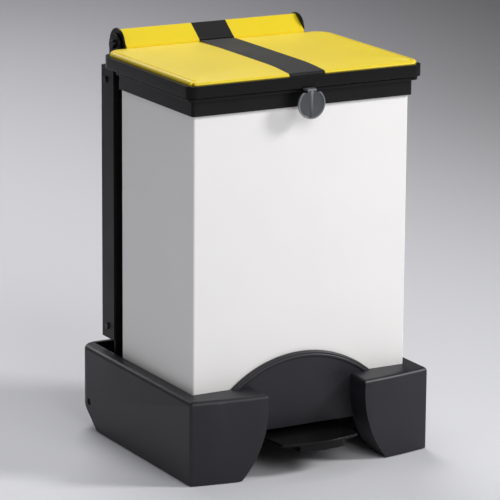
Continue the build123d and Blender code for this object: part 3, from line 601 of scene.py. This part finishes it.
class BIN_OT_lid_cover(bpy.types.Operator):
    """Yellow moulded cover of the lid, creased along its sides, with a notch at each front corner"""

    bl_idname = "bin.lid_cover"
    bl_label = "Make the lid cover"

    def execute(self, context):
        lid = context.scene.bin_lid
        bottom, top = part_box("lid_cover")
        corner_steps = 12
        bm = bmesh.new()
        rings = []
        for inset, height, crease in cover_steps(lid, bottom.z):
            ring = []
            notch = lid.notch if inset < lid.border + lid.groove / 4 else 0.0
            outline = rounded_outline(bottom, top, inset, lid.front_corner, lid.rear_corner, corner_steps)
            for point, side, corner, aim in outline:
                point = point - aim * notch * corner
                front = max(0.0, -aim.y) ** 2
                level = rolled(lid, bottom.z, inset, height, front) - crease * side * lid.groove
                ring.append(bm.verts.new((point.x, point.y, level)))
            rings.append(ring)
        join_rings(bm, rings)
        bm.faces.new(rings[-1])
        self.cut_step(bm)
        piece = add_piece("lid_cover_moulded", bm, "lid", "cover_yellow", ("lid_cover",), 60.0)
        solid = piece.modifiers.new("wall", "SOLIDIFY")
        solid.thickness = lid.wall
        solid.offset = -1.0
        return {"FINISHED"}

    def cut_step(self, bm):
        """Takes out the part of the cover that the hinge cover stands in."""
        hump_low, hump_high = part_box("hinge_cover")
        planes = (
            ((hump_low.x, 0, 0), (1, 0, 0)),
            ((hump_high.x, 0, 0), (1, 0, 0)),
            ((0, hump_low.y, 0), (0, 1, 0)),
        )
        for point, normal in planes:
            geometry = bm.verts[:] + bm.edges[:] + bm.faces[:]
            bmesh.ops.bisect_plane(bm, geom=geometry, plane_co=point, plane_no=normal)
        gone = []
        for face in bm.faces:
            middle = face.calc_center_median()
            if hump_low.x < middle.x < hump_high.x and middle.y > hump_low.y:
                gone.append(face)
        bmesh.ops.delete(bm, geom=gone, context="FACES")


class BIN_OT_lid_stripe(bpy.types.Operator):
    """Black strip laid over the middle of the cover, from the front edge to the hinge cover"""

    bl_idname = "bin.lid_stripe"
    bl_label = "Lay the strip"

    def execute(self, context):
        lid = context.scene.bin_lid
        bottom = low("lid_cover")
        line = []
        for inset, height, crease in cover_steps(lid, bottom.z):
            line.append(Vector((0, bottom.y + inset, rolled(lid, bottom.z, inset, height, 1.0))))
        foot = low("hinge_stripe")
        face = low("hinge_cover").y
        line.append(Vector((0, face, line[-1].z)))
        line.append(Vector((0, face, foot.z + lid.strip_wall)))
        line.append(Vector((0, foot.y + lid.strip_wall, foot.z + 2 * lid.strip_wall)))
        half, under, over = lid.strip_width / 2, lid.strip_gap, lid.strip_wall
        section = ((-half, under), (-half, over), (half, over), (half, under))
        bm = bmesh.new()
        rings = []
        for i, point in enumerate(line):
            run = line[min(i + 1, len(line) - 1)] - line[max(i - 1, 0)]
            out = Vector((0, -run.z, run.y)).normalized()
            rings.append([bm.verts.new(point + out * lift + Vector((side, 0, 0))) for side, lift in section])
        join_rings(bm, rings)
        bm.faces.new(rings[0])
        bm.faces.new(rings[-1])
        add_piece("lid_strip", bm, "lid", "stripe_black", ("lid_stripe",), 50.0)
        return {"FINISHED"}


class BIN_OT_hinge_cover(bpy.types.Operator):
    """Black ends of the hinge cover, whose yellow cover and strip keep their CAD mesh"""

    bl_idname = "bin.hinge_cover"
    bl_label = "Round the ends of the hinge cover"

    def execute(self, context):
        for side in ("left", "right"):
            rounded("hinge_cheek_" + side, "lid_black", 0.9, 3)
        return {"FINISHED"}


class BIN_OT_lid_tray(bpy.types.Operator):
    """Black tray of the lid and the smoky clear tab under it, with rounded edges"""

    bl_idname = "bin.lid_tray"
    bl_label = "Make the lid tray"

    def execute(self, context):
        rounded("lid_tray", "lid_black", 1.2, 3)
        rounded("lift_tab", "clear_plastic", 0.45, 3)
        return {"FINISHED"}


# ---------------------------------------------------------------- steelwork
class BIN_OT_body(bpy.types.Operator):
    """White folded body"""

    bl_idname = "bin.body"
    bl_label = "Make the body"

    def execute(self, context):
        rounded("body_sleeve", "body_white", 0.35, 2)
        return {"FINISHED"}


class BIN_OT_steelwork(bpy.types.Operator):
    """Black frame band, back panel, uprights and brackets with their sheet edges rounded"""

    bl_idname = "bin.steelwork"
    bl_label = "Make the steelwork"

    def execute(self, context):
        rounded("frame_band", "frame_black", 1.5, 3)
        for node in ("back_panel", "upright_left", "upright_right"):
            rounded(node, "frame_black", 0.5)
        for side in ("left", "right"):
            rounded("hinge_bracket_" + side, "frame_black", 0.5)
        return {"FINISHED"}


# ---------------------------------------------------------------- base and pedal
class BIN_OT_base(bpy.types.Operator):
    """Black moulded base with rounded edges"""

    bl_idname = "bin.base"
    bl_label = "Make the base"

    def execute(self, context):
        rounded("base_shell", "base_black", context.scene.bin_base.edge / MM, 3)
        return {"FINISHED"}


class BIN_OT_kick_plate(bpy.types.Operator):
    """Black plate behind the pedal, with a raised bead round its arched top"""

    bl_idname = "bin.kick_plate"
    bl_label = "Make the kick plate"

    def execute(self, context):
        base = context.scene.bin_base
        bottom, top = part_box("kick_plate")
        shoulder = high("base_shell").z
        radius = base.arch
        centre = Vector((0, bottom.y, top.z - radius))
        reach = math.acos((shoulder - centre.z) / radius)
        half = base.bead_width / 2
        half_round_steps, arc_steps = 8, 64
        section = []
        for step in range(half_round_steps + 1):
            turn = math.radians(180 * step / half_round_steps)
            section.append((half * math.cos(turn), base.bead_rise * math.sin(turn) - base.bead_sink))
        bm = copy_mesh("kick_plate")
        sweep_arc(bm, centre, radius - base.bead_inset, -reach, reach, arc_steps, section)
        add_piece("kick_plate_finished", bm, "base", "base_black", ("kick_plate",))
        return {"FINISHED"}


class BIN_OT_pedal(bpy.types.Operator):
    """Black pedal pad with a thin rounded edge"""

    bl_idname = "bin.pedal"
    bl_label = "Make the pedal"

    def execute(self, context):
        rounded("pedal_pad", "lid_black", 0.8, 3)
        return {"FINISHED"}


# ---------------------------------------------------------------- stage
# Name, place, point it faces, diameter in metres and power in watts.
LAMPS = (
    ("key", (3.0, -2.0, 2.4), (0, 0, 0.3), 1.0, 112.0),
    ("front", (0.1, -3.5, 2.6), (0, 0, 0.3), 2.8, 62.0),
    ("fill", (-3.4, -0.6, 2.4), (0, 0, 0.2), 2.4, 12.0),
    ("top", (0.5, 1.9, 2.7), (0, 0, 0.3), 1.4, 44.0),
    ("back", (-0.3, 3.4, 1.8), (0.1, 3.0, 0.0), 1.8, 24.0),
)


class BIN_OT_stage(bpy.types.Operator):
    """Paper sweep, soft lights and camera"""

    bl_idname = "bin.stage"
    bl_label = "Set the stage"

    def execute(self, context):
        stage = context.scene.bin_stage
        self.sweep(context)
        self.camera(context, stage)
        self.lights(context)
        return {"FINISHED"}

    def sweep(self, context):
        """A floor that curves up into a wall behind the bin, square to the camera."""
        bm = bmesh.new()
        half_width, near_end, wall, top = 12.0, -12.0, 14.0, 9.0
        curve, curve_steps = 2.4, 24
        corners = ((near_end, 0.0), (wall, 0.0), (wall, top))
        profile = [bm.verts.new((-half_width, y, z)) for y, z in corners]
        for pair in zip(profile, profile[1:]):
            bm.edges.new(pair)
        bmesh.ops.bevel(
            bm, geom=[profile[1]], offset=curve, segments=curve_steps, profile=0.5,
            affect="VERTICES", material=-1,
        )
        made = bmesh.ops.extrude_edge_only(bm, edges=bm.edges[:])
        moved = [item for item in made["geom"] if isinstance(item, bmesh.types.BMVert)]
        bmesh.ops.translate(bm, verts=moved, vec=(2 * half_width, 0, 0))
        azimuth = context.scene.bin_stage.azimuth
        bmesh.ops.rotate(bm, verts=bm.verts, cent=(0, 0, 0), matrix=Matrix.Rotation(azimuth, 3, "Z"))
        bmesh.ops.recalc_face_normals(bm, faces=bm.faces)
        mesh = bpy.data.meshes.new("paper_sweep")
        bm.to_mesh(mesh)
        bm.free()
        mesh.shade_smooth()
        sweep = bpy.data.objects.new("paper_sweep", mesh)
        context.scene.collection.objects.link(sweep)
        finishes = context.scene.bin_finishes
        base = tuple(finishes.floor)
        material, tree, shader = start_material("paper_with_painted_shade", base, Roughness=0.85)
        # Painted shade: the paper goes from the floor colour near the bin to the darker far colours behind
        # it, darkest to the right, where the light falls off.
        away = (-math.sin(azimuth), math.cos(azimuth), 0.0)
        across = (math.cos(azimuth), math.sin(azimuth), 0.0)
        near = self.along(tree, away, start=-0.9, end=2.9)
        side = self.along(tree, across, start=-0.6, end=1.3)
        painted_far_shade = mixed(tree, side, tuple(finishes.far_left_painted_shade), tuple(finishes.far_right_painted_shade))
        tree.links.new(mixed(tree, near, base, painted_far_shade), shader.inputs["Base Color"])
        mesh.materials.append(material)

    def along(self, tree, direction, start, end):
        """0 at one distance along a level direction and 1 at another."""
        dot = add(tree, "ShaderNodeVectorMath", {"operation": "DOT_PRODUCT"}, {0: place(tree)})
        dot.inputs[1].default_value = direction
        return ramp(tree, dot.outputs["Value"], start, end, "SMOOTHSTEP")

    def camera(self, context, stage):
        """A camera at its distance from the point it looks at."""
        data = bpy.data.cameras.new("camera")
        data.sensor_width = 36.0
        data.lens = stage.lens
        data.clip_end = 60.0
        camera = bpy.data.objects.new("camera", data)
        context.scene.collection.objects.link(camera)
        azimuth, elevation = stage.azimuth, stage.elevation
        level = math.cos(elevation)
        back = Vector((math.sin(azimuth) * level, -math.cos(azimuth) * level, math.sin(elevation)))
        turn = back.to_track_quat("Z", "Y").to_matrix() @ Matrix.Rotation(stage.roll, 3, "Z")
        camera.matrix_world = Matrix.Translation(Vector(stage.aim) + back * stage.distance) @ turn.to_4x4()
        context.scene.camera = camera
        context.scene.view_settings.view_transform = "Standard"

    def lights(self, context):
        """A key on the right, a large front light, a fill on the left, one high behind and a floor wash."""
        for name, spot, aim, size, power in LAMPS:
            self.lamp(context, name, spot, aim, size, power)
        world = bpy.data.worlds.new("studio")
        context.scene.world = world
        world.use_nodes = True
        background = world.node_tree.nodes["Background"]
        background.inputs["Color"].default_value = linear("#E6E8EE")
        background.inputs["Strength"].default_value = 0.2

    def lamp(self, context, name, spot, aim, size, power):
        """A round area light that faces a point."""
        data = bpy.data.lights.new(name, "AREA")
        data.shape = "DISK"
        data.size = size
        data.energy = power
        lamp = bpy.data.objects.new(name, data)
        context.scene.collection.objects.link(lamp)
        away = Vector(spot) - Vector(aim)
        turn = away.to_track_quat("Z", "Y").to_matrix().to_4x4()
        lamp.matrix_world = Matrix.Translation(Vector(spot)) @ turn


# ---------------------------------------------------------------- panel and registration
STEPS = [
    BIN_OT_hardware,
    BIN_OT_lid_cover,
    BIN_OT_lid_stripe,
    BIN_OT_hinge_cover,
    BIN_OT_lid_tray,
    BIN_OT_body,
    BIN_OT_steelwork,
    BIN_OT_base,
    BIN_OT_kick_plate,
    BIN_OT_pedal,
    BIN_OT_stage,
]


class BIN_PT_panel(bpy.types.Panel):
    """Lists the steps that make the bin"""

    bl_idname = "BIN_PT_panel"
    bl_label = "Pedal bin"
    bl_space_type = "VIEW_3D"
    bl_region_type = "UI"
    bl_category = "Bin"

    def draw(self, context):
        for step in STEPS:
            self.layout.operator(step.bl_idname)


GROUPS = {
    "bin_finishes": BinFinishes,
    "bin_lid": LidSizes,
    "bin_base": BaseSizes,
    "bin_stage": StageSettings,
}


def register():
    for group in GROUPS.values():
        bpy.utils.register_class(group)
    for name, group in GROUPS.items():
        setattr(bpy.types.Scene, name, bpy.props.PointerProperty(type=group))
    for step in STEPS:
        bpy.utils.register_class(step)
    bpy.utils.register_class(BIN_PT_panel)


def unregister():
    bpy.utils.unregister_class(BIN_PT_panel)
    for step in reversed(STEPS):
        bpy.utils.unregister_class(step)
    for name, group in GROUPS.items():
        delattr(bpy.types.Scene, name)
        bpy.utils.unregister_class(group)


def main():
    register()
    for step in STEPS:
        group, name = step.bl_idname.split(".")
        getattr(getattr(bpy.ops, group), name)()


if __name__ == "__main__":
    main()
